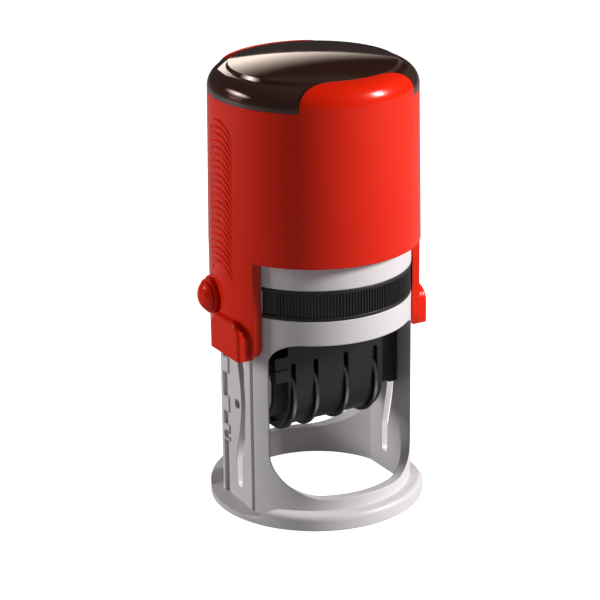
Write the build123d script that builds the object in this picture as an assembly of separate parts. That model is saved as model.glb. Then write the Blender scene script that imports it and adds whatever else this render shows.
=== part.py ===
from build123d import *
import math
import os

# A self-inking round date stamp, in millimetres, +Z up, standing on its base ring.
# The origin is on the ground under the middle of the base. The front is -Y, and the
# platen turns over about an axis along X, carried down by the red housing.

os.makedirs("parts", exist_ok=True)

# ---------------------------------------------------------------- driving dimensions

# stamping
die_radius = 16.0            # the printed circle is 32 mm across
die_reach = 8.8              # from the platen's axis to the face of the die
stroke = 35.0                # how far the housing is pressed down
ink_gap = 1.5                # from the die to the felt at rest, so that its edge can turn past

# platen
platen_margin = 0.4          # plate beyond the die
plate_thickness = 1.8
pedestal_margin = 0.2        # die beyond the raised middle of the plate
pedestal_height = 2.2
cushion_thickness = 1.0
text_base_thickness = 0.7
text_relief = 0.5
text_border_width = 0.8
platen_arm_gap = 0.5         # plate's edge to the arm's inner face
platen_arm_thickness = 1.6
platen_arm_half_width = 6.0
platen_arm_drop = 19.2       # below the axis
platen_arm_corner = 1.0
flange_thickness = 1.2       # turned-in front edge of a platen arm
right_flange_x = 12.9        # inner edge of the wide right flange
left_flange_x = 16.1

# frame
arm_clearance = 0.4          # platen arm to the frame's inner flat
side_wall = 2.1              # frame's wall at the flats
flat_inset = 1.05            # from the tower's round surface in to its side flat
tower_wall = 2.15
flange_width = 2.95          # base ring beyond the tower
base_height = 3.7
base_edge_round = 1.2
recess_floor = 1.3           # base ring under the arms
recess_ramp = 2.4
window_bottom = 6.5
window_bottom_corner = 10.0
window_top_corner = 5.0
window_below_bay = 5.7       # top of the window below the pad's bay
panel_depth = 0.35           # panel round the cam slot
panel_span = (-3.6, 4.1)     # along Y
groove_top = 45.0
front_groove = (-7.4, -6.3)  # along Y
front_groove_depth = 0.7
lock_groove = (4.1, 6.4)     # along Y
lock_groove_depth = 0.8
lock_groove_heights = ((1.3, 14.6), (18.5, 21.9), (25.6, 31.6), (35.3, 43.8))
rear_notch = (8.5, 11.0)     # along Y
rear_notch_depth = 1.25      # from the flat's plane
rear_notch_heights = ((16.5, 18.5), (23.1, 25.4), (32.6, 35.0))
spindle_hole_radius = 1.15
spindle_hole_y = 0.5
spindle_hole_z = 25.2
deck_thickness = 2.5
tower_edge_chamfer = 1.2
tower_above_rim = 0.1        # round surface that hides inside the housing's rim
spring_seat_height = 2.0
spring_seat_wall = 1.5

# ink pad cassette
cassette_height = 6.95
cassette_play = 0.15         # above and below, each
cassette_side_play = 0.3
cassette_front_margin = 0.7  # front face wider than the tray, each side
cassette_front_depth = 9.9   # the front face starts this far forward of the middle
cassette_front_wall = 3.6
runner_width = 1.2           # runners down the tray's two sides
rail_width = 1.3             # ledges in the frame under the runners
rail_height = 1.0
tray_edge = 0.75             # tray below the felt's face
tray_back_gap = 0.3
band_groove = 0.35
band_border = 0.7
felt_margin = 1.2            # felt beyond the die
felt_thickness = 1.9
felt_recess = 4.35           # felt's face up inside the tray
felt_play = 0.1

# housing
slide_clearance = 0.35       # tower to housing
rim_wall = 1.8
housing_taper = 0.5          # narrower at the shoulder, each side
housing_play = 5.9           # rim above the cassette at rest
arm_half_width = 10.2
arm_corner = 3.0
arm_overlap = 0.4            # arms run up into the barrel
arm_below_pocket = 0.5       # housing arm's end below the crank pocket
land_gap = 0.3               # housing to the frame's side flat
land_half_width = 6.4
block_depth = 3.9
block_span = (-8.8, 4.5)     # along Y
block_rise = 4.4             # block's top above the platen's axis
block_arch = 4.0             # rounds of the block's two top corners
block_edge = 0.8
shoulder_above_stroke = 0.6
shoulder_round = 4.31
inner_shell_gap = 0.05
inner_shell_wall = 0.65
ceiling_clearance = 1.4      # over the tower at full stroke
lobe_round = 5.0
lobe_rise = 0.2              # lobe's round starts above the cap's
lobe_inner_half_width = 5.6
lobe_outer_half_width = 14.6
lobe_edge_hollow = 0.55      # side edge bows in between its ends
ledge_drop = 0.7             # cap's lower lip below its shoulder

# index cap and card
cap_wall = 0.6
cap_disc_margin = 0.44       # crease in to the disc's edge
cap_disc_step = 0.8
cap_dome = 1.2
cap_disc_thickness = 0.9
cap_clearance = 0.1
card_thickness = 0.4
card_gap = 0.05

# main spring
main_spring_radius = 14.0
main_wire = 1.3
main_turns = 4.0

# cranks and cam slot
crank_offset = 2.7
crank_pin_radius = 1.1
crank_pin_play = 0.2
crank_disc_radius = 3.9
crank_disc_thickness = 2.0
crank_end_gap = 0.1
running_clearance = 0.05
crank_side_gap = 0.35        # disc to the frame's flat
slot_bottom = 4.4
slot_top_above_hinge = 1.5

# lock buttons
button_above_hinge = 7.25
button_y = 5.2
button_travel = 1.0
button_radius = 3.95
button_clearance = 0.1
button_end_gap = 0.13
button_length = 1.4
button_wall = 1.2            # over the spring pocket
dome_radius = 3.45
dome_step = 0.45
dome_rise = 1.7
boss_wall = 0.6              # round the button's bore
boss_depth = 2.5             # from the land
bore_floor = 1.3             # left between the land and the bore
lock_pin_radius = 1.0
lock_pin_play = 0.2
pad_lock_press = 4.6         # pressed this far, the pad can be changed
button_spring_radius = 2.0
button_spring_room = 0.6     # pocket beyond the coil's middle line
button_wire = 0.3
button_turns = 3.0
spring_end_gap = 0.02

# date unit
wheel_drop = 16.1            # wheel axis below the platen's axis
wheel_radius = 10.0
wheel_tooth = 0.3
wheel_teeth = 112
wheel_thickness = 0.8
drum_radius = 5.4
drum_clearance = 0.1
band_thickness = 1.0
band_side_gap = 0.12
bridge_band_radius = 3.4     # outside of a band where it turns over the bridge
bridge_clearance = 0.05
bridge_half_width = 1.5
bridge_over_wheels = 0.5
shaft_radius = 1.5
wheel_centres = (-11.2, -5.3, 2.7, 10.5)
first_drum_length = 3.1
wheel_gap = 0.1
cheek_thickness = 0.8
cheek_gap = 0.3
cheek_half_width = 5.5
shaft_head = 0.2
window_margin = 0.7
casing_half_width = 12.5
casing_half_depth = 9.1
casing_wall = 1.2
casing_slot = 1.3
casing_slot_rise = 8.75      # slot's top above the wheel axis
clip_reach = 3.4             # clip blocks out from the casing's left side
clip_depth = 2.5
clip_height = 2.9
clip_pitch = 3.25
clip_above_wheel = 4.6       # lower clip's foot above the wheel axis

# ---------------------------------------------------------------- what follows from them

hinge_z = stroke + die_reach
die_face_z = hinge_z + die_reach
text_floor_z = die_face_z - text_relief
text_base_z = text_floor_z - text_base_thickness
cushion_z = text_base_z - cushion_thickness
pedestal_z = cushion_z - pedestal_height
plate_z = pedestal_z - plate_thickness
platen_radius = die_radius + platen_margin
platen_arm_x = platen_radius + platen_arm_gap
inner_flat = platen_arm_x + platen_arm_thickness + arm_clearance
outer_flat = inner_flat + side_wall
tower_radius = outer_flat + flat_inset
tower_inner = tower_radius - tower_wall
base_radius = tower_radius + flange_width

felt_face_z = die_face_z + ink_gap
felt_radius = die_radius + felt_margin
cassette_z = felt_face_z - felt_recess
cassette_top = cassette_z + cassette_height
bay_z = cassette_z - cassette_play
bay_top = cassette_top + cassette_play
deck_top = bay_top + deck_thickness
rim_z = cassette_top + housing_play
tower_edge_z = rim_z + tower_above_rim
tower_top = tower_edge_z + tower_edge_chamfer
window_top = bay_z - window_below_bay

housing_inner = tower_radius + slide_clearance
rim_radius = housing_inner + rim_wall
shoulder_radius = rim_radius - housing_taper
pocket_radius = crank_disc_radius + running_clearance
arm_bottom = hinge_z - pocket_radius - arm_below_pocket
land_x = outer_flat + land_gap
block_x = land_x + block_depth
block_top = hinge_z + block_rise
crank_x = outer_flat + crank_side_gap
pocket_x = crank_x + crank_disc_thickness + crank_end_gap
shoulder_z = tower_edge_z + stroke + shoulder_above_stroke - tower_above_rim
crease_radius = shoulder_radius - shoulder_round
ceiling_z = tower_top + stroke + ceiling_clearance
inner_shoulder = shoulder_round - cap_wall - inner_shell_gap
cavity_shoulder = inner_shoulder - inner_shell_wall
roof_z = shoulder_z + inner_shoulder
ledge_z = shoulder_z - ledge_drop
cap_disc_radius = crease_radius - cap_disc_margin
crease_z = shoulder_z + shoulder_round
disc_edge_z = crease_z + cap_disc_step
lobe_inner_radius = cap_disc_radius + cap_clearance

button_z = hinge_z + button_above_hinge
lock_pocket_half = lock_pin_radius + lock_pin_play
bore_floor_x = land_x + bore_floor
button_inner_x = bore_floor_x + button_travel + button_end_gap
button_face_x = button_inner_x + button_length
dome_x = button_face_x + dome_step
spring_top_x = dome_x + dome_rise - button_wall

wheel_z = hinge_z - wheel_drop
bridge_z = die_face_z - bridge_band_radius
big = 200.0


# ---------------------------------------------------------------- small helpers

def block(x, y, z):
    """A box from three (low, high) pairs."""
    size = [high - low for low, high in (x, y, z)]
    middle = [(high + low) / 2 for low, high in (x, y, z)]
    return Pos(*middle) * Box(*size)


def along_z(radius, low, high):
    """A cylinder standing between two heights, with its seam line at the back."""
    return Pos(0, 0, (low + high) / 2) * Rot(0, 0, 90) * Cylinder(radius, high - low)


def along_x(radius, low, high, z, y=0.0):
    """A cylinder lying along X."""
    return Pos((low + high) / 2, y, z) * Rot(0, 90, 0) * Cylinder(radius, high - low)


def turned(*edges):
    """A solid turned about Z from edges drawn as (radius, height), seam line at the back."""
    outline = make_face(Plane.XZ * (Curve() + list(edges)))
    return Rot(0, 0, 90) * revolve(outline, Axis.Z)


def extruded_y(face, low, high):
    """A face drawn as (x, z), extruded from low to high along Y."""
    plane = Plane((0, high, 0), x_dir=(1, 0, 0), z_dir=(0, -1, 0))
    return extrude(plane * face, high - low)


def extruded_x(face, low, high):
    """A face drawn as (y, z), extruded from low to high along X."""
    plane = Plane((low, 0, 0), x_dir=(0, 1, 0), z_dir=(1, 0, 0))
    return extrude(plane * face, high - low)


def both_sides(solid):
    """A solid of the right side together with its mirror image on the left."""
    return solid + mirror(solid, Plane.YZ)


def arc_point(centre_r, centre_z, radius, degrees):
    """A point on a circle in the (radius, height) plane."""
    angle = math.radians(degrees)
    return (centre_r + radius * math.cos(angle), centre_z + radius * math.sin(angle))


def quarter(centre_r, centre_z, radius, end_degrees=90.0):
    """An arc that starts level with its centre and rises inwards."""
    return ThreePointArc(
        arc_point(centre_r, centre_z, radius, 0),
        arc_point(centre_r, centre_z, radius, end_degrees / 2),
        arc_point(centre_r, centre_z, radius, end_degrees),
    )


# ---------------------------------------------------------------- frame

def pin_path(travel, side):
    """Where one edge of the cam slot lies when the housing is pressed by travel."""
    turn = math.pi * travel / stroke
    y = -crank_offset * math.sin(turn)
    z = hinge_z - travel - crank_offset * math.cos(turn)
    along_y = -crank_offset * math.cos(turn) * math.pi / stroke
    along_z_ = -1 + crank_offset * math.sin(turn) * math.pi / stroke
    length = math.hypot(along_y, along_z_)
    half = crank_pin_radius + crank_pin_play
    return (y - side * half * along_z_ / length, z + side * half * along_y / length)


def cam_slot():
    """The slot that turns the crank pin over: two straight ends and a bulge to the front."""
    steps = 14
    travels = [stroke * step / steps for step in range(steps + 1)]
    one = Spline(*[pin_path(travel, 1) for travel in travels])
    other = Spline(*[pin_path(travel, -1) for travel in reversed(travels)])
    bulge = make_face(Curve() + [one, Line(one @ 1, other @ 0), other, Line(other @ 1, one @ 0)])
    half = crank_pin_radius + crank_pin_play
    low, high = outer_flat - side_wall - 1, outer_flat + 1
    slot = extruded_x(bulge, low, high)
    for start, end in (
        (slot_bottom + half, hinge_z - stroke + crank_offset),
        (hinge_z - crank_offset, hinge_z + slot_top_above_hinge - half),
    ):
        slot += block((low, high), (-half, half), (start, end))
        slot += along_x(half, low, high, start)
        slot += along_x(half, low, high, end)
    return slot


def frame_side_cuts():
    """Panel, grooves, notches, cam slot and lock pockets of the right side flat."""
    cuts = block((outer_flat - panel_depth, big), panel_span, (recess_floor, groove_top))
    front_x = outer_flat - front_groove_depth
    cuts += block((front_x, big), front_groove, (recess_floor, groove_top))
    lock_x = outer_flat - lock_groove_depth
    lock_pockets = [
        (middle - lock_pocket_half, middle + lock_pocket_half)
        for middle in (button_z, button_z - pad_lock_press)
    ]
    for heights in (*lock_groove_heights, *lock_pockets):
        cuts += block((lock_x, big), lock_groove, heights)
    for heights in rear_notch_heights:
        cuts += block((outer_flat - rear_notch_depth, big), rear_notch, heights)
    cuts += along_x(lock_pocket_half, lock_x, big, button_z - stroke, button_y)
    cuts += along_x(spindle_hole_radius, inner_flat - 1, big, spindle_hole_z, spindle_hole_y)
    return cuts + cam_slot()


def make_frame():
    """Base ring, windowed tower, cassette bay, deck and spring seat in one moulding."""
    ring = turned(
        Line((0, 0), (base_radius, 0)),
        Line((base_radius, 0), (base_radius, base_height - base_edge_round)),
        quarter(base_radius - base_edge_round, base_height - base_edge_round, base_edge_round),
        Line((base_radius - base_edge_round, base_height), (0, base_height)),
        Line((0, base_height), (0, 0)),
    )
    recess_half = arm_half_width + 0.8
    recess = make_face(
        Polyline(
            (-recess_half, recess_floor),
            (recess_half, recess_floor),
            (recess_half + recess_ramp, base_height),
            (recess_half + recess_ramp, big),
            (-recess_half - recess_ramp, big),
            (-recess_half - recess_ramp, base_height),
            close=True,
        )
    )
    ring -= both_sides(extruded_x(recess, inner_flat / 2, big))

    tower = turned(
        Line((0, 0), (tower_radius, 0)),
        Line((tower_radius, 0), (tower_radius, tower_edge_z)),
        Line((tower_radius, tower_edge_z), (tower_radius - tower_edge_chamfer, tower_top)),
        Line((tower_radius - tower_edge_chamfer, tower_top), (0, tower_top)),
        Line((0, tower_top), (0, 0)),
    )
    tower &= block((-outer_flat, outer_flat), (-big, big), (0, big))
    body = ring + tower

    between_flats = block((-inner_flat, inner_flat), (-big, big), (-big, big))
    body -= along_z(tower_inner, -1, bay_top) & between_flats
    body -= along_z(tower_inner, deck_top, tower_top + 1) & between_flats

    window = make_face(
        FilletPolyline(
            (-inner_flat, window_bottom),
            (inner_flat, window_bottom),
            (inner_flat, window_top),
            (-inner_flat, window_top),
            radius=[
                window_bottom_corner,
                window_bottom_corner,
                window_top_corner,
                window_top_corner,
            ],
            close=True,
        )
    )
    body -= extruded_y(window, -big / 2, big / 2)

    body -= block((-inner_flat, inner_flat), (-big, 0), (bay_z, bay_top))
    front_half = inner_flat + cassette_front_margin + 0.1
    body -= block(
        (-front_half, front_half), (-big, -cassette_front_depth + cassette_play), (bay_z, bay_top)
    )

    rails = block((inner_flat - rail_width, inner_flat + 0.1), (-big, big), (bay_z - rail_height, bay_z))
    body += both_sides(rails) & along_z(tower_inner + 0.1, 0, big)

    seat_radius = main_spring_radius - main_wire / 2 - 0.45
    body += along_z(seat_radius, deck_top - 0.5, deck_top + spring_seat_height)
    body -= along_z(seat_radius - spring_seat_wall, deck_top, deck_top + spring_seat_height + 1)
    body -= both_sides(frame_side_cuts())
    return body


# ---------------------------------------------------------------- ink pad cassette

def make_cassette():
    """A flat tray for the felt with a deep curved front and a runner down each side."""
    tray_half = inner_flat - cassette_side_play
    front_half = inner_flat + cassette_front_margin
    heights = (cassette_z, cassette_top)
    outline = block((-tray_half, tray_half), (-big, 0), heights) & along_z(tower_radius, *heights)
    outline += block((-tray_half, tray_half), (-1, big), heights) & along_z(
        tower_inner - tray_back_gap, *heights
    )
    front_cut = block((-front_half, front_half), (-big, -cassette_front_depth), heights)
    outline += front_cut & along_z(tower_radius, *heights)
    groove = along_z(big, cassette_z + band_border, cassette_top - band_border)
    groove &= block((-big, big), (-big, 0), (0, big))
    outline -= groove - along_z(tower_radius - band_groove, 0, big)
    under = block(
        (runner_width - tray_half, tray_half - runner_width), (-big, big), (0, felt_face_z - tray_edge)
    )
    inside_front = along_z(tower_radius - cassette_front_wall, 0, big)
    outline -= under & (inside_front + block((-big, big), (0, big), (0, big)))
    return outline - along_z(felt_radius + felt_play, 0, felt_face_z + felt_thickness)


def make_felt():
    """The round inked felt, face down."""
    return along_z(felt_radius, felt_face_z, felt_face_z + felt_thickness)


# ---------------------------------------------------------------- housing

def lobe_plan(grow):
    """Plan of the front and back lobes, with hollow side edges, grown by a clearance."""
    inner_y = math.sqrt(lobe_inner_radius**2 - lobe_inner_half_width**2)
    outer_y = math.sqrt(shoulder_radius**2 - lobe_outer_half_width**2)
    inner = (lobe_inner_half_width + grow, inner_y - grow)
    outer = (lobe_outer_half_width + grow, outer_y - grow)
    middle = ((inner[0] + outer[0]) / 2, (inner[1] + outer[1]) / 2 - lobe_edge_hollow)
    left = [(-x, y) for x, y in (inner, middle, outer)]
    far = 2 * shoulder_radius
    face = make_face(
        Curve()
        + [
            Line((-inner[0], 0), (inner[0], 0)),
            Line((inner[0], 0), inner),
            ThreePointArc(inner, middle, outer),
            Line(outer, (outer[0] + 0.5, far)),
            Line((outer[0] + 0.5, far), (-outer[0] - 0.5, far)),
            Line((-outer[0] - 0.5, far), left[2]),
            ThreePointArc(left[2], left[1], left[0]),
            Line(left[0], (-inner[0], 0)),
        ]
    )
    column = extrude(face, big)
    return column + mirror(column, Plane.XZ)


def make_housing():
    """The pressed shell: barrel, roof, lobes, arms, crank blocks and button collars."""
    shell = turned(
        Line((0, rim_z), (rim_radius, rim_z)),
        Line((rim_radius, rim_z), (shoulder_radius, ledge_z)),
        Line((shoulder_radius, ledge_z), (crease_radius + inner_shoulder, ledge_z)),
        Line((crease_radius + inner_shoulder, ledge_z), (crease_radius + inner_shoulder, shoulder_z)),
        quarter(crease_radius, shoulder_z, inner_shoulder),
        Line((crease_radius, roof_z), (0, roof_z)),
        Line((0, roof_z), (0, rim_z)),
    )
    lobe_z = shoulder_z + lobe_rise
    lobe_centre = shoulder_radius - lobe_round
    reach = lobe_inner_radius - lobe_centre
    lobe_end = math.degrees(math.acos(reach / lobe_round))
    lobe_top = arc_point(lobe_centre, lobe_z, lobe_round, lobe_end)
    base_r = crease_radius - 1
    lobes = turned(
        Line((base_r, ledge_z), (shoulder_radius, ledge_z)),
        Line((shoulder_radius, ledge_z), (shoulder_radius, lobe_z)),
        quarter(lobe_centre, lobe_z, lobe_round, lobe_end),
        Line(lobe_top, (lobe_inner_radius, roof_z - 0.2)),
        Line((lobe_inner_radius, roof_z - 0.2), (base_r, roof_z - 0.2)),
        Line((base_r, roof_z - 0.2), (base_r, ledge_z)),
    )
    shell += lobes & lobe_plan(0.0)

    arms = block(
        (-big / 2, big / 2), (-arm_half_width, arm_half_width), (arm_bottom, rim_z + arm_overlap)
    )
    arms = fillet(arms.edges().filter_by(Axis.X).group_by(Axis.Z)[0], arm_corner)
    shell += arms & along_z(rim_radius, arm_bottom, rim_z + arm_overlap)

    rise_end = math.degrees(math.asin((ceiling_z - shoulder_z) / cavity_shoulder))
    cavity_end = arc_point(crease_radius, shoulder_z, cavity_shoulder, rise_end)
    cavity = turned(
        Line((0, 0), (housing_inner, 0)),
        Line((housing_inner, 0), (housing_inner, shoulder_z)),
        Line((housing_inner, shoulder_z), (crease_radius + cavity_shoulder, shoulder_z)),
        quarter(crease_radius, shoulder_z, cavity_shoulder, rise_end),
        Line(cavity_end, (0, ceiling_z)),
        Line((0, ceiling_z), (0, 0)),
    )
    shell -= cavity

    bore_radius = button_radius + button_clearance
    boss_radius = bore_radius + boss_wall
    land = block(
        (land_x, housing_inner + 0.5),
        (-land_half_width, land_half_width),
        (arm_bottom, button_z + boss_radius),
    )
    crank_block = block((land_x, block_x), block_span, (arm_bottom, block_top))
    top_corners = crank_block.edges().filter_by(Axis.X).group_by(Axis.Z)[-1]
    crank_block = fillet(top_corners, block_arch)
    outer_edges = crank_block.faces().sort_by(Axis.X)[-1].edges().sort_by(Axis.Z)[1:]
    crank_block = fillet(outer_edges, block_edge)
    boss = along_x(boss_radius, land_x, land_x + boss_depth, button_z, button_y)
    cuts = along_x(pocket_radius, 0, pocket_x, hinge_z)
    cuts += along_x(bore_radius, bore_floor_x, big, button_z, button_y)
    cuts += along_x(lock_pin_radius + lock_pin_play, 0, big, button_z, button_y)
    shell += both_sides(land + crank_block + boss)
    shell -= both_sides(cuts)

    seat_radius = main_spring_radius - main_wire / 2 - 0.45
    seat = along_z(seat_radius, ceiling_z - spring_seat_height, ceiling_z + 0.3)
    shell += seat - along_z(seat_radius - spring_seat_wall, 0, ceiling_z)
    return shell


# ---------------------------------------------------------------- index cap and card

def make_cap():
    """The clear cap: a domed disc and two thin side shoulders between the lobes."""
    dome_inner_edge = (cap_disc_radius - 0.25, disc_edge_z - cap_disc_thickness)
    inner = shoulder_round - cap_wall
    foot_z = ledge_z + inner_shell_gap
    top_z = disc_edge_z + cap_dome
    middle_r = cap_disc_radius / 2
    middle_rise = cap_dome * 0.75
    cap = turned(
        Line((crease_radius + inner, foot_z), (shoulder_radius, foot_z)),
        Line((shoulder_radius, foot_z), (shoulder_radius, shoulder_z)),
        quarter(crease_radius, shoulder_z, shoulder_round),
        Line((crease_radius, crease_z), (cap_disc_radius, disc_edge_z)),
        ThreePointArc(
            (cap_disc_radius, disc_edge_z), (middle_r, disc_edge_z + middle_rise), (0, top_z)
        ),
        Line((0, top_z), (0, top_z - cap_disc_thickness)),
        ThreePointArc(
            (0, top_z - cap_disc_thickness),
            (middle_r, disc_edge_z + middle_rise - cap_disc_thickness),
            dome_inner_edge,
        ),
        Line(dome_inner_edge, (crease_radius, shoulder_z + inner)),
        ThreePointArc(
            (crease_radius, shoulder_z + inner),
            arc_point(crease_radius, shoulder_z, inner, 45),
            (crease_radius + inner, shoulder_z),
        ),
        Line((crease_radius + inner, shoulder_z), (crease_radius + inner, foot_z)),
    )
    return cap - (lobe_plan(cap_clearance) - along_z(cap_disc_radius, 0, big))


def make_card():
    """The round index card that shows through the cap."""
    low = roof_z + card_gap
    return along_z(cap_disc_radius - 0.6, low, low + card_thickness)


# ---------------------------------------------------------------- springs

def make_main_spring():
    """A wide coil between the deck and the housing's ceiling."""
    low = deck_top + main_wire / 2
    height = ceiling_z - deck_top - main_wire
    path = Helix(pitch=height / main_turns, height=height, radius=main_spring_radius)
    section = Plane(origin=path @ 0, z_dir=path % 0) * Circle(main_wire / 2)
    return Pos(0, 0, low) * sweep(section, path=path, is_frenet=True)


def make_button_spring():
    """A small coil behind the right lock button, round its pin."""
    low = bore_floor_x + button_wire / 2 + spring_end_gap
    height = spring_top_x - button_wire / 2 - spring_end_gap - low
    path = Helix(pitch=height / button_turns, height=height, radius=button_spring_radius)
    section = Plane(origin=path @ 0, z_dir=path % 0) * Circle(button_wire / 2)
    coil = sweep(section, path=path, is_frenet=True)
    return Pos(low, button_y, button_z) * Rot(0, 90, 0) * coil


# ---------------------------------------------------------------- lock buttons

def make_lock_button():
    """The right button: a stepped, domed head, a spring pocket behind it and the locking pin."""
    ball = (dome_radius**2 + dome_rise**2) / (2 * dome_rise)
    dome = Pos(dome_x + dome_rise - ball, button_y, button_z) * Sphere(ball)
    head = along_x(button_radius, button_inner_x, button_face_x, button_z, button_y)
    head += along_x(dome_radius, button_inner_x, dome_x, button_z, button_y)
    head += dome & along_x(dome_radius, button_inner_x, big, button_z, button_y)
    pocket_radius = button_spring_radius + button_spring_room
    head -= along_x(pocket_radius, 0, spring_top_x, button_z, button_y)
    return head + along_x(lock_pin_radius, crank_x, spring_top_x + 0.1, button_z, button_y)


# ---------------------------------------------------------------- platen

def band_window():
    """The slot through which the date bands reach the face of the die."""
    low = wheel_centres[0] - wheel_thickness / 2 - first_drum_length - window_margin + 0.1
    high = wheel_centres[3] - wheel_thickness / 2 + window_margin - 0.2
    half = bridge_band_radius + window_margin
    return block((low, high), (-half, half), (0, big))


def make_platen():
    """The turning plate and its two side arms, each with a turned-in front flange."""
    arm_end = platen_arm_x + platen_arm_thickness
    half = platen_arm_half_width
    plate = along_z(platen_radius, plate_z, pedestal_z)
    plate += along_z(die_radius - pedestal_margin, plate_z, cushion_z)
    plate += block((-arm_end, arm_end), (-half, half), (plate_z, pedestal_z))
    arm_low = hinge_z - platen_arm_drop
    arm = block((platen_arm_x, arm_end), (-half, half), (arm_low, pedestal_z))
    arm = fillet(arm.edges().filter_by(Axis.X).group_by(Axis.Z)[0], platen_arm_corner)
    plate += both_sides(arm)
    flange_y = (-half, flange_thickness - half)
    flange_low = arm_low + platen_arm_corner
    plate += block((right_flange_x, platen_arm_x + 0.5), flange_y, (flange_low, plate_z + 0.5))
    plate += block((-platen_arm_x - 0.5, -left_flange_x), flange_y, (flange_low, plate_z + 0.5))
    pin_hole = along_x(crank_pin_radius, -big / 2, big / 2, hinge_z - crank_offset)
    return plate - pin_hole - band_window()


def make_cushion():
    """Soft layer between the plate and the text plate."""
    return along_z(die_radius, cushion_z, text_base_z) - band_window()


def make_text_plate():
    """Rubber die with a raised border, round the date window."""
    die = along_z(die_radius, text_base_z, text_floor_z)
    border = along_z(die_radius, text_floor_z, die_face_z)
    border -= along_z(die_radius - text_border_width, 0, big)
    return die + border - band_window()


def make_crank():
    """The right crank: a disc in the housing's block and a pin through the cam slot."""
    disc = along_x(crank_disc_radius, crank_x, crank_x + crank_disc_thickness, hinge_z)
    pin = along_x(crank_pin_radius, platen_arm_x, crank_x + 0.5, hinge_z - crank_offset)
    return disc + pin


# ---------------------------------------------------------------- date unit

def drum_span(index):
    """The (low, high) X of one wheel's drum, left of its disc."""
    high = wheel_centres[index] - wheel_thickness / 2
    if index == 0:
        return high - first_drum_length, high
    return wheel_centres[index - 1] + wheel_thickness / 2 + wheel_gap, high


def make_thumbwheel(index):
    """A toothed thumb disc and the drum that carries one date band."""
    points = []
    for tooth in range(wheel_teeth):
        for part, radius in ((0.0, wheel_radius - wheel_tooth), (0.5, wheel_radius)):
            angle = 2 * math.pi * (tooth + part) / wheel_teeth
            points.append((radius * math.cos(angle), wheel_z + radius * math.sin(angle)))
    low, high = drum_span(index)
    wheel = extruded_x(make_face(Polyline(*points, close=True)), high, high + wheel_thickness)
    wheel += along_x(drum_radius, low, high, wheel_z)
    return wheel - along_x(shaft_radius + running_clearance, -big / 2, big / 2, wheel_z)


def belt_outline(lower_radius, upper_radius):
    """The outline of a belt round two circles, as a face in (y, z)."""
    distance = bridge_z - wheel_z
    lean = math.asin((lower_radius - upper_radius) / distance)
    cos_lean, sin_lean = math.cos(lean), math.sin(lean)
    low_right = (lower_radius * cos_lean, wheel_z + lower_radius * sin_lean)
    low_left = (-low_right[0], low_right[1])
    high_right = (upper_radius * cos_lean, bridge_z + upper_radius * sin_lean)
    high_left = (-high_right[0], high_right[1])
    return make_face(
        Curve()
        + [
            ThreePointArc(low_left, (0, wheel_z - lower_radius), low_right),
            Line(low_right, high_right),
            ThreePointArc(high_right, (0, bridge_z + upper_radius), high_left),
            Line(high_left, low_left),
        ]
    )


def make_band(index):
    """A closed rubber band from its drum up over the bridge."""
    low, high = drum_span(index)
    low, high = low + band_side_gap, high - band_side_gap
    inner_drum = drum_radius + drum_clearance
    inner_bridge = bridge_band_radius - band_thickness
    outer = belt_outline(inner_drum + band_thickness, bridge_band_radius)
    inner = belt_outline(inner_drum, inner_bridge)
    return extruded_x(outer, low, high) - extruded_x(inner, low - 1, high + 1)


def cheek_spans():
    """The X spans of the left and right cheeks."""
    left = drum_span(0)[0] - cheek_gap
    right = wheel_centres[3] + wheel_thickness / 2 + cheek_gap
    return (left - cheek_thickness, left), (right, right + cheek_thickness)


def make_cheek(index):
    """A flat side plate of the date unit, bored for the shaft."""
    low, high = cheek_spans()[index]
    half = cheek_half_width
    cheek = block((low, high), (-half, half), (wheel_z, plate_z))
    cheek += along_x(half, low, high, wheel_z)
    return cheek - along_x(shaft_radius, low - 1, high + 1, wheel_z)


def make_bridge():
    """The bar inside the bands, between the cheeks, with the rounded head they turn over."""
    across = (-bridge_half_width, bridge_half_width)
    foot_z = wheel_z + wheel_radius + bridge_over_wheels
    bar = block((cheek_spans()[0][1], cheek_spans()[1][0]), across, (foot_z, plate_z))
    head_span = (drum_span(0)[0], drum_span(3)[1])
    bar += block(head_span, across, (foot_z, bridge_z))
    head = bridge_band_radius - band_thickness - bridge_clearance
    return bar + along_x(head, *head_span, bridge_z)


def make_shaft():
    """The steel shaft of the thumbwheels."""
    (left, _), (_, right) = cheek_spans()
    return along_x(shaft_radius, left - shaft_head, right + shaft_head, wheel_z)


def make_casing():
    """The slotted shield round the wheels, clipped to the left cheek."""
    half = casing_half_width
    outer = block((-half, half), (-casing_half_depth, casing_half_depth), (wheel_z, plate_z))
    outer += along_x(casing_half_depth, -half, half, wheel_z)
    inner_depth = casing_half_depth - casing_wall
    inner = block((-half - 1, half + 1), (-inner_depth, inner_depth), (wheel_z, plate_z + 1))
    inner += along_x(inner_depth, -half - 1, half + 1, wheel_z)
    casing = outer - inner
    for centre in wheel_centres:
        across = (centre - casing_slot / 2, centre + casing_slot / 2)
        top = wheel_z + casing_slot_rise - casing_slot / 2
        casing -= block(across, (-big, big), (0, top))
        casing -= Pos(centre, 0, top) * Rot(90, 0, 0) * Cylinder(casing_slot / 2, big)
    for index in range(2):
        low = wheel_z + clip_above_wheel + index * clip_pitch
        casing += block(
            (-half - clip_reach, -half + 0.3),
            (-casing_half_depth, -casing_half_depth + clip_depth),
            (low, low + clip_height),
        )
    return casing


# ---------------------------------------------------------------- write the parts

def write(name, solid):
    export_step(solid, f"parts/{name}.step")


write("frame", make_frame())
write("pad_cassette", make_cassette())
write("ink_pad", make_felt())
write("main_spring", make_main_spring())
write("housing", make_housing())
write("index_cap", make_cap())
write("index_card", make_card())
write("platen", make_platen())
write("plate_cushion", make_cushion())
write("text_plate", make_text_plate())
write("wheel_shaft", make_shaft())
write("band_bridge", make_bridge())
write("date_casing", make_casing())

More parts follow.
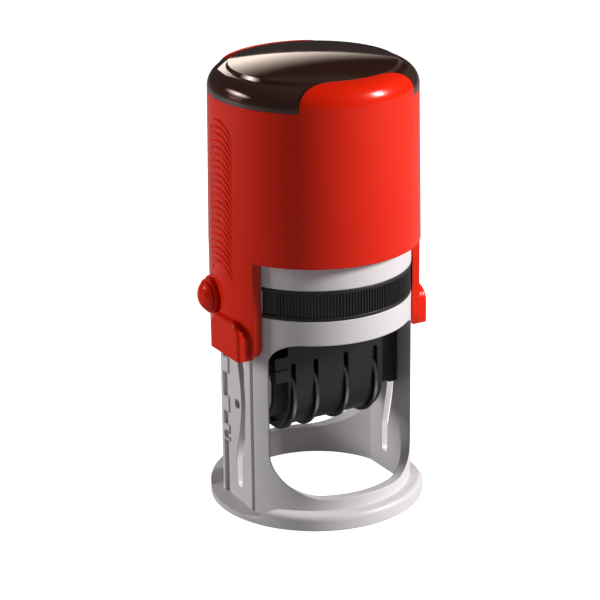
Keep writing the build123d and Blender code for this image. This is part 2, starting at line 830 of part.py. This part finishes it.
for side_name, side_part in (
    ("lock_button", make_lock_button()),
    ("button_spring", make_button_spring()),
    ("crank", make_crank()),
):
    write(f"{side_name}_right", side_part)
    write(f"{side_name}_left", mirror(side_part, Plane.YZ))

for cheek_index, cheek_name in enumerate(("left", "right")):
    write(f"wheel_cheek_{cheek_name}", make_cheek(cheek_index))

for wheel_index in range(len(wheel_centres)):
    write(f"thumbwheel_{wheel_index + 1}", make_thumbwheel(wheel_index))
    write(f"date_band_{wheel_index + 1}", make_band(wheel_index))
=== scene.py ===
# %% [markdown]
# # A round self-inking date stamp
# The stamp is already modelled to size as a set of rigid parts, and this file gives it
# its looks. The parts that are right as they are get a better surface. The parts that
# need finer detail than a machine drawing holds, such as springs, grip ribs and the
# ribs on the pad's front, are built here as new pieces that ride on the same bodies.
# Lengths are metres, +Z is up, and the front of the stamp faces -Y.

# %% Load the fixed frame
from math import acos, cos, degrees, pi, radians, sin, sqrt

import bmesh
import bpy
from mathutils import Matrix, Vector


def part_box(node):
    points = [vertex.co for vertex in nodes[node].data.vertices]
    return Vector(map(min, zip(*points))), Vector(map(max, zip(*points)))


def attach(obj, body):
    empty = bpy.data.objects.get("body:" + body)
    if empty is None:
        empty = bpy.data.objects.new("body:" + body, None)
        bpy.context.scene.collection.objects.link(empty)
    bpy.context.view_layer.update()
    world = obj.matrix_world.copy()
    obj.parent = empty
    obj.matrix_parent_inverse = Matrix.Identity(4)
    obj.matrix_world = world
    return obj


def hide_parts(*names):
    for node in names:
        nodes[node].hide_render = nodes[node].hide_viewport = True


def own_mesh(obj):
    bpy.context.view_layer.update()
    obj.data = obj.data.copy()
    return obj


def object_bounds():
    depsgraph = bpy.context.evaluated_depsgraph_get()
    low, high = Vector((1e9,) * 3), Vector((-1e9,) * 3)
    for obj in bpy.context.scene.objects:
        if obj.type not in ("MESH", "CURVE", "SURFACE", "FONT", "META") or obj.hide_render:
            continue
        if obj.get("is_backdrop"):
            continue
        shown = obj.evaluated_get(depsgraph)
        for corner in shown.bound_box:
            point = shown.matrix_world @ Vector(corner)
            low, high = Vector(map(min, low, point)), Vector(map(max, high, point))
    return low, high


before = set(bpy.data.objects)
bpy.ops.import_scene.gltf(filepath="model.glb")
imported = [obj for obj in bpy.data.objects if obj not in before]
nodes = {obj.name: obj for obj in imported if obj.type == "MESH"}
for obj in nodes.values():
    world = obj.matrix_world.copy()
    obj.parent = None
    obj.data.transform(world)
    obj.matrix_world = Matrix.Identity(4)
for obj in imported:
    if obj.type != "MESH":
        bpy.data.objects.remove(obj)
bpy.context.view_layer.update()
MM = 0.001

# %% [markdown]
# ## Camera
# The stamp is seen from its front left, a little above, through a long lens, so its
# upright lines stay almost parallel. The camera is turned about Z by the azimuth, then
# tipped down by the elevation, then rolled very slightly, in that order.

# %% Camera
view_azimuth = radians(30.1)
view_elevation = radians(20.16)
view_roll = -0.0113
camera_data = bpy.data.cameras.new("camera")
camera_data.lens = 137.87
camera_data.clip_start = 0.05
camera_data.clip_end = 20.0
camera = bpy.data.objects.new("camera", camera_data)
bpy.context.scene.collection.objects.link(camera)
camera.matrix_world = (
    Matrix.Translation((-0.2520, -0.4278, 0.2291))
    @ Matrix.Rotation(-view_azimuth, 4, "Z")
    @ Matrix.Rotation(pi / 2 - view_elevation, 4, "X")
    @ Matrix.Rotation(view_roll, 4, "Z")
)
bpy.context.scene.camera = camera
bpy.context.scene.view_settings.view_transform = "Standard"
print("camera looks down by", round(degrees(view_elevation), 1), "degrees")

# %% [markdown]
# ## Studio
# A product like this is lit from its two sides on a white table, so that its round
# barrel turns from bright to dark and back. A gloss plastic shows a lamp as a shape on
# its surface, so each box is placed for the highlight it makes: a warm key box far to
# the right gives the bright flank and the spot on the lobe, and a weaker box on the
# left lifts the other flank. The left box isn't seen in reflections.

# %% Soft boxes
to_camera = Vector((-sin(view_azimuth), -cos(view_azimuth), 0))
to_right = Vector((cos(view_azimuth), -sin(view_azimuth), 0))
stamp_middle = Vector((0, 0, 0.055))


def soft_box(name, right, front, up, size, power, tint=(1, 1, 1)):
    """A rectangular area light, placed from the stamp's middle as the camera sees it."""
    light = bpy.data.lights.new(name, "AREA")
    light.shape = "RECTANGLE"
    light.size, light.size_y = size
    light.energy = power
    light.color = tint
    holder = bpy.data.objects.new(name, light)
    bpy.context.scene.collection.objects.link(holder)
    place = stamp_middle + to_right * right + to_camera * front + Vector((0, 0, up))
    facing = (stamp_middle - place).to_track_quat("-Z", "Y").to_matrix().to_4x4()
    holder.matrix_world = Matrix.Translation(place) @ facing
    return holder


soft_box("key_box", 0.67, 0.15, 0.35, (0.14, 0.22), 8.4, tint=(1.0, 0.97, 0.95))
left_box = soft_box("left_box", -0.60, -0.02, 0.15, (0.20, 0.30), 2.55)
left_box.visible_glossy = False

# %% [markdown]
# Lamps with a fade, and every material further down, are small networks of shader
# nodes. Two short helpers keep them readable: one adds a node with its own settings,
# and one links an output to an input.

# %% Node helpers
def wire(tree, source, target):
    tree.links.new(source, target)


def add(tree, kind, **settings):
    """A node of the given kind with its own properties set."""
    node = tree.nodes.new(kind)
    for name, value in settings.items():
        setattr(node, name, value)
    return node

# %% [markdown]
# A polished surface shows a hard-edged lamp as a hard-edged patch. So what the cap
# mirrors are glowing cards instead, which are seen in reflections and light nothing.
# Each fades as a lamp behind cloth does: one is a round glow for the cap's shoulder,
# and one, behind the stamp and low, fades upwards and to the right across the cap's
# flat top. The cards keep their size in their own mesh, so the fade is in metres.

# %% Glowing card
def glowing_card(name, right, front, up, size, tint):
    """An upright card of a real size, facing the stamp; returns its node tree, its texture coordinates and its
    lamp.
    """
    shape = bmesh.new()
    bmesh.ops.create_grid(shape, x_segments=1, y_segments=1, size=0.5)
    bmesh.ops.scale(shape, vec=(size[0], size[1], 1), verts=shape.verts)
    data = bpy.data.meshes.new(name)
    shape.to_mesh(data)
    shape.free()
    card = bpy.data.objects.new(name, data)
    bpy.context.scene.collection.objects.link(card)
    place = stamp_middle + to_right * right + to_camera * front + Vector((0, 0, up))
    level_aim = Vector((stamp_middle.x - place.x, stamp_middle.y - place.y, 0))
    card.matrix_world = Matrix.Translation(place) @ level_aim.to_track_quat("Z", "Y").to_matrix().to_4x4()
    card.visible_camera = False
    card.visible_diffuse = False
    card.visible_shadow = False
    paint = bpy.data.materials.new(name)
    paint.use_nodes = True
    tree = paint.node_tree
    tree.nodes.clear()
    where = add(tree, "ShaderNodeTexCoord")
    lamp = add(tree, "ShaderNodeEmission")
    lamp.inputs["Color"].default_value = (*tint, 1)
    end = add(tree, "ShaderNodeOutputMaterial")
    wire(tree, lamp.outputs["Emission"], end.inputs["Surface"])
    data.materials.append(paint)
    card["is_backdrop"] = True
    return tree, where, lamp


def brightness(tree, fade, level, lamp):
    """Sets a lamp's strength to a fade between 0 and 1, times its brightest level."""
    power = add(tree, "ShaderNodeMath", operation="MULTIPLY")
    power.inputs[1].default_value = level
    wire(tree, fade, power.inputs[0])
    wire(tree, power.outputs["Value"], lamp.inputs["Strength"])


# %% Round glow on the cap's shoulder
glow_width, glow_height = 0.56, 0.28
glow_size = (glow_width, glow_height)
tree, where, lamp = glowing_card("round_glow", -0.62, -0.05, 0.33, glow_size, (1.0, 0.80, 0.72))
fit = add(tree, "ShaderNodeVectorMath", operation="MULTIPLY")
fit.inputs[1].default_value = (2 / glow_width, 2 / glow_height, 0)
fade = add(tree, "ShaderNodeTexGradient", gradient_type="QUADRATIC_SPHERE")
wire(tree, where.outputs["Object"], fit.inputs[0])
wire(tree, fit.outputs["Vector"], fade.inputs["Vector"])
brightness(tree, fade.outputs["Fac"], 18.0, lamp)

# %% Fading glow on the cap's flat top
fade_full, fade_gone, fade_curve = -0.1325, 0.0225, 1.6
tree, where, lamp = glowing_card("back_glow", 0.0, -0.70, 0.2925, (0.40, 0.205), (1.0, 0.84, 0.72))
diagonal = add(tree, "ShaderNodeVectorMath", operation="DOT_PRODUCT")
diagonal.inputs[1].default_value = (1, 1, 0)
fade = add(tree, "ShaderNodeMapRange")
fade.inputs["From Min"].default_value = fade_gone
fade.inputs["From Max"].default_value = fade_full
ease = add(tree, "ShaderNodeMath", operation="POWER")
ease.inputs[1].default_value = fade_curve
wire(tree, where.outputs["Object"], diagonal.inputs[0])
wire(tree, diagonal.outputs["Value"], fade.inputs["Value"])
wire(tree, fade.outputs["Result"], ease.inputs[0])
brightness(tree, ease.outputs["Value"], 2.7, lamp)

# %% [markdown]
# The backdrop and the table are a white sweep that stays clean right up to the stamp.
# White all round would wash out the plastic, so both are white only to the camera: to
# the stamp they are dim, enough to open the shadows and let the lamps read as lights.

# %% Room and table
def two_levels(tree, to_stamp, to_view, socket):
    """Sets a brightness that differs between the rays from the camera and all others."""
    seen = add(tree, "ShaderNodeLightPath")
    level = add(tree, "ShaderNodeMapRange")
    level.inputs["To Min"].default_value = to_stamp
    level.inputs["To Max"].default_value = to_view
    wire(tree, seen.outputs["Is Camera Ray"], level.inputs["Value"])
    wire(tree, level.outputs["Result"], socket)


white_level = 1.1
room = bpy.data.worlds.new("room")
bpy.context.scene.world = room
room.use_nodes = True
room_light = room.node_tree.nodes["Background"]
room_light.inputs["Color"].default_value = (0.95, 0.95, 1.0, 1)
two_levels(room.node_tree, 0.035, white_level, room_light.inputs["Strength"])

table_mesh = bmesh.new()
bmesh.ops.create_grid(table_mesh, x_segments=1, y_segments=1, size=3.0)
table_data = bpy.data.meshes.new("table")
table_mesh.to_mesh(table_data)
table_mesh.free()
table = bpy.data.objects.new("table", table_data)
table.location.z = -0.2 * MM
bpy.context.scene.collection.objects.link(table)
table_paint = bpy.data.materials.new("white table")
table_paint.use_nodes = True
table_shader = table_paint.node_tree.nodes["Principled BSDF"]
table_shader.inputs["Base Color"].default_value = (0.35, 0.35, 0.35, 1)
table_shader.inputs["Roughness"].default_value = 0.9
table_shader.inputs["Specular IOR Level"].default_value = 0.1
table_shader.inputs["Emission Color"].default_value = (1, 1, 1, 1)
two_levels(table_paint.node_tree, 0.04, white_level, table_shader.inputs["Emission Strength"])
table_data.materials.append(table_paint)
table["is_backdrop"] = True
print("backdrop brightness to the view:", white_level)

# %% [markdown]
# ## Shared surface effects
# Nearly every part here is moulded, so nearly every material needs the same two
# things. A mould never leaves a perfectly sharp edge, and handling polishes it: the
# first group rounds the shading at edges and gives a mask of where they are, through
# which each material paints its edges lighter, partly as wear and partly as a painted
# highlight. A mould's own texture is a fine grain with slow changes of gloss: the
# second group gives its height, and masks for gloss and colour. Each material then
# sets its own amounts.

# %% Group maker
def new_group(name, inputs, outputs):
    """A shader node group with float inputs and the named outputs, and its two end nodes."""
    group = bpy.data.node_groups.new(name, "ShaderNodeTree")
    for label, value, low, high in inputs:
        socket = group.interface.new_socket(label, in_out="INPUT", socket_type="NodeSocketFloat")
        socket.default_value, socket.min_value, socket.max_value = value, low, high
    for label, kind in outputs:
        group.interface.new_socket(label, in_out="OUTPUT", socket_type=kind)
    return group, add(group, "NodeGroupInput"), add(group, "NodeGroupOutput")


# %% Group: soft edges
soft_edges, edges_in, edges_out = new_group(
    "Soft Edges",
    [("Radius", 0.0003, 0.0, 0.002)],
    [("Normal", "NodeSocketVector"), ("Edge", "NodeSocketFloat")],
)
rounder = add(soft_edges, "ShaderNodeBevel", samples=6)
surface = add(soft_edges, "ShaderNodeNewGeometry")
turn = add(soft_edges, "ShaderNodeVectorMath", operation="DOT_PRODUCT")
edge_mask = add(soft_edges, "ShaderNodeMapRange")
edge_mask.inputs["From Min"].default_value = 0.995
edge_mask.inputs["From Max"].default_value = 0.80
wire(soft_edges, edges_in.outputs["Radius"], rounder.inputs["Radius"])
wire(soft_edges, rounder.outputs["Normal"], turn.inputs[0])
wire(soft_edges, surface.outputs["Normal"], turn.inputs[1])
wire(soft_edges, turn.outputs["Value"], edge_mask.inputs["Value"])
wire(soft_edges, rounder.outputs["Normal"], edges_out.inputs["Normal"])
wire(soft_edges, edge_mask.outputs["Result"], edges_out.inputs["Edge"])

# %% Group: moulded grain
moulded_grain, grain_in, grain_out = new_group(
    "Moulded Grain",
    [
        ("Grain Scale", 4000.0, 1.0, 20000.0),
        ("Cloud Scale", 60.0, 1.0, 2000.0),
        ("Stretch", 1.0, 0.01, 100.0),
    ],
    [("Height", "NodeSocketFloat"), ("Gloss Cloud", "NodeSocketFloat"), ("Colour Cloud", "NodeSocketFloat")],
)
place = add(moulded_grain, "ShaderNodeTexCoord")
stretcher = add(moulded_grain, "ShaderNodeCombineXYZ")
stretcher.inputs["X"].default_value = 1.0
stretcher.inputs["Y"].default_value = 1.0
stretched = add(moulded_grain, "ShaderNodeVectorMath", operation="MULTIPLY")
fine = add(moulded_grain, "ShaderNodeTexNoise")
fine.inputs["Detail"].default_value = 3.0
cloud = add(moulded_grain, "ShaderNodeTexNoise")
cloud.inputs["Detail"].default_value = 4.0
tone = add(moulded_grain, "ShaderNodeTexNoise")
tone.inputs["Detail"].default_value = 2.0
doubled = add(moulded_grain, "ShaderNodeMath", operation="MULTIPLY")
doubled.inputs[1].default_value = 0.43
wire(moulded_grain, grain_in.outputs["Stretch"], stretcher.inputs["Z"])
wire(moulded_grain, place.outputs["Object"], stretched.inputs[0])
wire(moulded_grain, stretcher.outputs["Vector"], stretched.inputs[1])
wire(moulded_grain, stretched.outputs["Vector"], fine.inputs["Vector"])
wire(moulded_grain, place.outputs["Object"], cloud.inputs["Vector"])
wire(moulded_grain, place.outputs["Object"], tone.inputs["Vector"])
wire(moulded_grain, grain_in.outputs["Grain Scale"], fine.inputs["Scale"])
wire(moulded_grain, grain_in.outputs["Cloud Scale"], cloud.inputs["Scale"])
wire(moulded_grain, grain_in.outputs["Cloud Scale"], doubled.inputs[0])
wire(moulded_grain, doubled.outputs["Value"], tone.inputs["Scale"])
wire(moulded_grain, fine.outputs["Fac"], grain_out.inputs["Height"])
wire(moulded_grain, cloud.outputs["Fac"], grain_out.inputs["Gloss Cloud"])
wire(moulded_grain, tone.outputs["Fac"], grain_out.inputs["Colour Cloud"])
print("shader groups:", [group.name for group in bpy.data.node_groups])

# %% [markdown]
# ## Materials
# One function builds a moulded material from a handful of quantities: its colour, the
# lighter colour painted on its edges, partly as rubbed wear and partly as a painted
# highlight, how glossy it is and how much that varies, and the size and depth of its
# grain. The plain numbers go straight on the shader's sockets.


# %% Moulded material
def moulded(
    name, colour, edge_wear_and_highlight_colour, gloss, grain, depth,
    radius=0.00025, cloud_scale=60.0, stretch=1.0, wear_and_highlight=0.5, tone_range=0.10, settings=(),
):
    """A material from its colour, (roughness low, high), grain scale and grain depth in metres."""
    paint = bpy.data.materials.new(name)
    paint.use_nodes = True
    tree = paint.node_tree
    shader = tree.nodes["Principled BSDF"]
    for socket, value in settings:
        shader.inputs[socket].default_value = value
    edges = add(tree, "ShaderNodeGroup", node_tree=soft_edges)
    edges.inputs["Radius"].default_value = radius
    texture = add(tree, "ShaderNodeGroup", node_tree=moulded_grain)
    texture.inputs["Grain Scale"].default_value = grain
    texture.inputs["Cloud Scale"].default_value = cloud_scale
    texture.inputs["Stretch"].default_value = stretch

    body = add(tree, "ShaderNodeMix", data_type="RGBA")
    body.inputs["A"].default_value = (*[c * (1 - tone_range) for c in colour], 1)
    body.inputs["B"].default_value = (*[min(1.0, c * (1 + tone_range)) for c in colour], 1)
    wire(tree, texture.outputs["Colour Cloud"], body.inputs["Factor"])
    # The edges are painted in a lighter colour through the edge mask: partly rubbed wear, and partly a painted
    # highlight along every edge.
    wear_and_highlight_share = add(tree, "ShaderNodeMath", operation="MULTIPLY")
    wear_and_highlight_share.inputs[1].default_value = wear_and_highlight
    wire(tree, edges.outputs["Edge"], wear_and_highlight_share.inputs[0])
    wear_and_highlight_mix = add(tree, "ShaderNodeMix", data_type="RGBA")
    wear_and_highlight_mix.inputs["B"].default_value = (*edge_wear_and_highlight_colour, 1)
    wire(tree, body.outputs["Result"], wear_and_highlight_mix.inputs["A"])
    wire(tree, wear_and_highlight_share.outputs["Value"], wear_and_highlight_mix.inputs["Factor"])
    wire(tree, wear_and_highlight_mix.outputs["Result"], shader.inputs["Base Color"])

    sheen = add(tree, "ShaderNodeMapRange")
    sheen.inputs["To Min"].default_value, sheen.inputs["To Max"].default_value = gloss
    wire(tree, texture.outputs["Gloss Cloud"], sheen.inputs["Value"])
    wire(tree, sheen.outputs["Result"], shader.inputs["Roughness"])

    bump = add(tree, "ShaderNodeBump")
    bump.inputs["Strength"].default_value = 1.0
    bump.inputs["Distance"].default_value = depth
    wire(tree, texture.outputs["Height"], bump.inputs["Height"])
    wire(tree, edges.outputs["Normal"], bump.inputs["Normal"])
    wire(tree, bump.outputs["Normal"], shader.inputs["Normal"])
    return paint


# %% [markdown]
# The housing is a warm signal red, moulded glossy, with a very shallow orange peel. The
# frame is a cool light grey with a satin finish. The date unit is nearly black, matte,
# and finely spark-eroded; its edges are painted far lighter than its faces, a painted
# highlight along every edge.

# %% Plastics
clear_skin = (("IOR", 1.48), ("Specular IOR Level", 0.10), ("Coat Weight", 0.22), ("Coat Roughness", 0.15))
# The second colour of each plastic is painted on its edges: partly wear, partly a painted highlight.
red_plastic = moulded(
    "signal red plastic", (0.70, 0.016, 0.003), (0.80, 0.045, 0.015), (0.20, 0.28), 1500.0, 0.0000035,
    radius=0.0003, cloud_scale=45.0, wear_and_highlight=0.35, settings=clear_skin,
)
grey_plastic = moulded(
    "light grey plastic", (0.66, 0.635, 0.665), (0.78, 0.765, 0.79), (0.34, 0.46), 2600.0, 0.000004,
    radius=0.0004, cloud_scale=40.0, wear_and_highlight=0.55, tone_range=0.04,
)
black_plastic = moulded(
    "black plastic", (0.009, 0.0095, 0.0095), (0.05, 0.052, 0.054), (0.36, 0.50), 3200.0, 0.000008,
    radius=0.00025, cloud_scale=80.0, wear_and_highlight=0.6, tone_range=0.2,
)
wheel_plastic = moulded(
    "thumbwheel plastic", (0.013, 0.013, 0.012), (0.055, 0.055, 0.052), (0.40, 0.55), 3200.0, 0.000006,
    radius=0.00012, cloud_scale=90.0, wear_and_highlight=0.6, tone_range=0.2,
)
print("plastics:", [paint.name for paint in (red_plastic, grey_plastic, black_plastic, wheel_plastic)])

# %% [markdown]
# Rubber is duller than plastic and a little dusty. The pad is felt: short fibres that
# scatter light, so it has a strong grain and a sheen, and it is soaked with ink. The
# card is uncoated paper, coloured a dark brown so that it reads dark under the smoked
# cap: painted shade. Springs, shaft and cheeks are steel, drawn or stamped, whose
# grain is stretched along one direction.

# %% Rubber, felt, card and steel
# The second colour of each is painted on its edges: partly wear, partly a painted highlight.
band_rubber = moulded("band rubber", (0.035, 0.032, 0.030), (0.09, 0.085, 0.08), (0.62, 0.8), 2600.0, 0.00001,
                      radius=0.0002, wear_and_highlight=0.3)
die_rubber = moulded("die rubber", (0.42, 0.085, 0.06), (0.55, 0.17, 0.13), (0.58, 0.75), 2600.0, 0.000012,
                     radius=0.00015, wear_and_highlight=0.3)
cushion_foam = moulded("cushion foam", (0.72, 0.69, 0.61), (0.80, 0.78, 0.72), (0.8, 0.95), 1800.0, 0.00006,
                       radius=0.0001, wear_and_highlight=0.2)
inked_felt = moulded("inked felt", (0.014, 0.014, 0.03), (0.04, 0.04, 0.07), (0.75, 0.95), 2200.0, 0.0001,
                     radius=0.0001, wear_and_highlight=0.2, settings=(("Sheen Weight", 0.25), ("Sheen Roughness", 0.4)))
# The card's dark brown is painted shade for the dim space under the cap, not the paper's own colour.
index_paper = moulded("index card", (0.045, 0.030, 0.025), (0.07, 0.05, 0.04), (0.7, 0.85), 1600.0, 0.00001,
                      radius=0.0001, wear_and_highlight=0.1)
spring_steel = moulded("spring steel", (0.60, 0.60, 0.62), (0.75, 0.75, 0.77), (0.22, 0.38), 2500.0, 0.000004,
                       radius=0.0001, stretch=0.06, wear_and_highlight=0.3, settings=(("Metallic", 1.0),))
plate_steel = moulded("stamped steel", (0.52, 0.52, 0.54), (0.7, 0.7, 0.72), (0.3, 0.5), 2500.0, 0.000005,
                      radius=0.00015, stretch=12.0, wear_and_highlight=0.5, settings=(("Metallic", 1.0),))

# %% [markdown]
# The cap is a clear plastic smoked a dark brown. It is made as coloured glass: light
# goes through it and comes back brown from the red roof beneath, and its polished
# skin mirrors the soft boxes.

# %% Smoked cap
polished_glass = (("Transmission Weight", 0.72), ("IOR", 1.49), ("Coat Weight", 0.6), ("Coat Roughness", 0.03))
# The second colour is painted on the cap's edges: partly wear, partly a painted highlight.
smoked_cap = moulded(
    "smoked clear plastic", (0.15, 0.065, 0.045), (0.20, 0.10, 0.08), (0.05, 0.08), 900.0, 0.000001,
    radius=0.0002, wear_and_highlight=0.2, settings=polished_glass,
)

# %% Put the materials on the fixed parts
finishes = {
    "frame": grey_plastic,
    "housing": red_plastic,
    "lock_button_left": red_plastic,
    "lock_button_right": red_plastic,
    "index_cap": smoked_cap,
    "index_card": index_paper,
    "pad_cassette": black_plastic,
    "ink_pad": inked_felt,
    "platen": black_plastic,
    "date_casing": black_plastic,
    "band_bridge": black_plastic,
    "crank_left": grey_plastic,
    "crank_right": grey_plastic,
    "plate_cushion": cushion_foam,
    "text_plate": die_rubber,
    "wheel_shaft": spring_steel,
    "wheel_cheek_left": plate_steel,
    "wheel_cheek_right": plate_steel,
}
for index in range(1, 5):
    finishes[f"thumbwheel_{index}"] = wheel_plastic
    finishes[f"date_band_{index}"] = band_rubber
for name, paint in finishes.items():
    nodes[name].data.materials.clear()
    nodes[name].data.materials.append(paint)
print("parts refinished:", len(finishes))


# %% [markdown]
# ## New pieces
# Each new piece starts as a bmesh and becomes an object at the origin, with its place
# in its vertices. The helper checks which way the faces point, because an inside-out
# shell shades wrongly and bakes black.

# %% From bmesh to piece
def finish_piece(name, shape, paint, body, smooth_below=40.0):
    """An object from a bmesh, with outward faces, smooth where it curves, riding on a body."""
    bmesh.ops.remove_doubles(shape, verts=shape.verts, dist=1e-7)
    bmesh.ops.recalc_face_normals(shape, faces=shape.faces)
    for face in shape.faces:
        face.smooth = True
    for edge in shape.edges:
        if len(edge.link_faces) == 2 and degrees(edge.calc_face_angle(0.0)) > smooth_below:
            edge.smooth = False
    data = bpy.data.meshes.new(name)
    shape.to_mesh(data)
    shape.free()
    data.materials.append(paint)
    piece = bpy.data.objects.new(name, data)
    bpy.context.scene.collection.objects.link(piece)
    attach(piece, body)
    return piece


def pour_into(whole, piece):
    """Adds a finished bmesh to a larger one, and frees it."""
    scratch = bpy.data.meshes.new("scratch")
    piece.to_mesh(scratch)
    piece.free()
    whole.from_mesh(scratch)
    bpy.data.meshes.remove(scratch)


# %% [markdown]
# ### Coil springs
# A compression spring isn't an even helix: its last turn at each end is wound nearly
# flat so that it sits square on its seat. One circle of wire is spun three times, with
# a small rise for the closed end, a large rise for the working turns, and a small one
# again.

# %% Coil
def coil(radius, wire_radius, low, high, turns, around=12, per_turn=40):
    """A compression spring along Z with a closed turn at each end, as a bmesh."""
    shape = bmesh.new()
    seat = low + wire_radius
    place = Matrix.Translation((radius, 0, seat)) @ Matrix.Rotation(pi / 2, 4, "X")
    ring = bmesh.ops.create_circle(shape, cap_ends=False, segments=around, radius=wire_radius, matrix=place)
    start = list(ring["verts"])
    edge_ring = list({edge for vert in start for edge in vert.link_edges})
    bmesh.ops.edgeloop_fill(shape, edges=edge_ring)
    closed_rise = 2.05 * wire_radius
    working_rise = high - low - 2 * wire_radius - 2 * closed_rise
    sections = [(1.0, closed_rise), (turns - 2.0, working_rise), (1.0, closed_rise)]
    geometry = edge_ring
    for count, rise in sections:
        steps = int(round(count * per_turn))
        made = bmesh.ops.spin(
            shape, geom=geometry, cent=(0, 0, 0), axis=(0, 0, 1), dvec=(0, 0, rise / steps),
            angle=2 * pi * count, steps=steps, use_duplicate=False,
        )
        geometry = [item for item in made["geom_last"] if isinstance(item, bmesh.types.BMEdge)]
    bmesh.ops.edgeloop_fill(shape, edges=geometry)
    return shape


spring_low, spring_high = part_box("main_spring")
main_coil = coil(0.014, 0.00065, spring_low.z, spring_high.z, 6.0)
main_spring = finish_piece("coil_main", main_coil, spring_steel, "frame")
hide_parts("main_spring")
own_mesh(main_spring)

# %% Button springs
for side, sign in (("left", -1), ("right", 1)):
    low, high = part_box(f"button_spring_{side}")
    middle = (low + high) / 2
    inner, outer = (high.x, low.x) if sign < 0 else (low.x, high.x)
    small = coil(0.002, 0.00015, 0.0, abs(outer - inner), 5.0, around=8, per_turn=28)
    laid_down = Matrix.Translation((inner, middle.y, middle.z)) @ Matrix.Rotation(sign * pi / 2, 4, "Y")
    bmesh.ops.transform(small, matrix=laid_down, verts=small.verts)
    piece = finish_piece(f"coil_button_{side}", small, spring_steel, "housing")
    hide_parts(f"button_spring_{side}")
    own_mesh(piece)

# %% [markdown]
# ### Grip ribs
# The thumb and finger hold the barrel by two columns of thin raised crescents, one
# above the other like fish scales. One crescent is a rounded strip spun about a
# sideways axis, so it is flat at first. It is then thinned towards its two ends and
# laid onto the barrel by moving each point out to the barrel's own radius.

# %% Crescent ribs
rim_z, rim_radius = 0.0626, 0.0242
shoulder_z, shoulder_radius = 0.0975, 0.0237
rib_centre_y, rib_reach = 0.0008, 0.0057
rib_first, rib_last, rib_pitch = 0.0545, 0.0872, 0.00155
rib_half_width, rib_height, rib_sink = 0.00052, 0.00034, 0.00015
rib_facets = 6
rib_half_sweep = radians(72)
rib_taper_end = radians(74)


def barrel_radius(z):
    """The barrel's outside radius at a height: straight on the arms, then slightly tapered."""
    share = min(1.0, max(0.0, (z - rim_z) / (shoulder_z - rim_z)))
    return rim_radius + share * (shoulder_radius - rim_radius)


def lay_on_barrel(shape, centre_z, sign):
    """Thins a flat crescent towards its ends and bends it onto one side of the barrel."""
    for vert in shape.verts:
        across = Vector((vert.co.y - rib_centre_y, vert.co.z - centre_z))
        angle = acos(max(-1.0, min(1.0, across.y / max(across.length, 1e-9))))
        taper = max(0.0, 1 - (angle / rib_taper_end) ** 2) ** 0.6
        thinned = rib_reach + (across.length - rib_reach) * taper
        across *= thinned / across.length
        y, z = rib_centre_y + across.x, centre_z + across.y
        height = vert.co.x * taper - rib_sink * (1.2 - taper)
        vert.co = Vector((sign * (sqrt(barrel_radius(z) ** 2 - y * y) + height), y, z))


def crescent_at(centre_z):
    """One flat crescent: a rounded strip spun over the top of its centre."""
    crescent = bmesh.new()
    crown_z = centre_z + rib_reach
    outline = [crescent.verts.new((-rib_sink, rib_centre_y, crown_z - rib_half_width))]
    for part in range(1, rib_facets):
        turn_by = pi * part / rib_facets
        rise, across = rib_height * sin(turn_by), rib_half_width * cos(turn_by)
        outline.append(crescent.verts.new((rise, rib_centre_y, crown_z - across)))
    outline.append(crescent.verts.new((-rib_sink, rib_centre_y, crown_z + rib_half_width)))
    strip = [crescent.edges.new((a, b)) for a, b in zip(outline, outline[1:])]
    centre = (0, rib_centre_y, centre_z)
    to_start = Matrix.Rotation(rib_half_sweep, 3, "X")
    bmesh.ops.rotate(crescent, cent=centre, verts=crescent.verts, matrix=to_start)
    bmesh.ops.spin(
        crescent, geom=outline + strip, cent=centre, axis=(1, 0, 0), angle=-2 * rib_half_sweep,
        steps=26, use_duplicate=False,
    )
    return crescent


crescent_count = int((rib_last - rib_first) / rib_pitch) + 1
for side, sign in (("left", -1), ("right", 1)):
    column = bmesh.new()
    for step in range(crescent_count):
        centre_z = rib_first + step * rib_pitch
        crescent = crescent_at(centre_z)
        lay_on_barrel(crescent, centre_z, sign)
        pour_into(column, crescent)
    finish_piece(f"grip_ribs_{side}", column, red_plastic, "housing", smooth_below=60.0)
print("crescents on each side:", crescent_count)

# %% [markdown]
# ### Ribs on the pad's front
# The ink pad is pulled out by its curved front, which is finely ribbed so that a
# fingernail holds. Each rib is one small bar with its outer edges bevelled, turned
# about Z to its place round the front.

# %% Pad front ribs
cassette_low, cassette_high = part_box("pad_cassette")
band_groove, band_border = 0.35 * MM, 0.7 * MM
bar_width, bar_depth, bar_round = 0.36 * MM, 0.5 * MM, 0.14 * MM
bar_sink = 0.03 * MM
bar_radius = -cassette_low.y - band_groove + bar_sink
bar_tall = cassette_high.z - cassette_low.z - 2 * band_border
bar_z = (cassette_high.z + cassette_low.z) / 2
bar_count, bar_span = 57, radians(107)


def front_upright(edge):
    """Whether an edge of a bar stands up on its front face."""
    a, b = (vert.co for vert in edge.verts)
    return a.y < 0 and b.y < 0 and abs(a.z - b.z) > bar_tall / 2


front_ribs = bmesh.new()
for step in range(bar_count):
    bar = bmesh.new()
    bmesh.ops.create_cube(bar, size=1.0, matrix=Matrix.Diagonal((bar_width, bar_depth, bar_tall, 1)))
    corners = [edge for edge in bar.edges if front_upright(edge)]
    bmesh.ops.bevel(
        bar, geom=corners, offset=bar_round, segments=2, profile=0.5, affect="EDGES", material=-1,
    )
    turn_by = bar_span * (step / (bar_count - 1) - 0.5)
    to_place = Matrix.Rotation(turn_by, 4, "Z") @ Matrix.Translation((0, -bar_radius, bar_z))
    bmesh.ops.transform(bar, verts=bar.verts, matrix=to_place)
    pour_into(front_ribs, bar)
finish_piece("pad_front_ribs", front_ribs, black_plastic, "cassette")
print("ribs on the pad's front:", bar_count)

# %% [markdown]
# ## Sizes, and the end
# The finished stamp is meant to fill the same box as the fixed parts. The last call
# measures every piece and prints the size of the whole.

# %% Sizes, and the end
low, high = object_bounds()
print("size in mm:", [round((b - a) / MM, 2) for a, b in zip(low, high)])
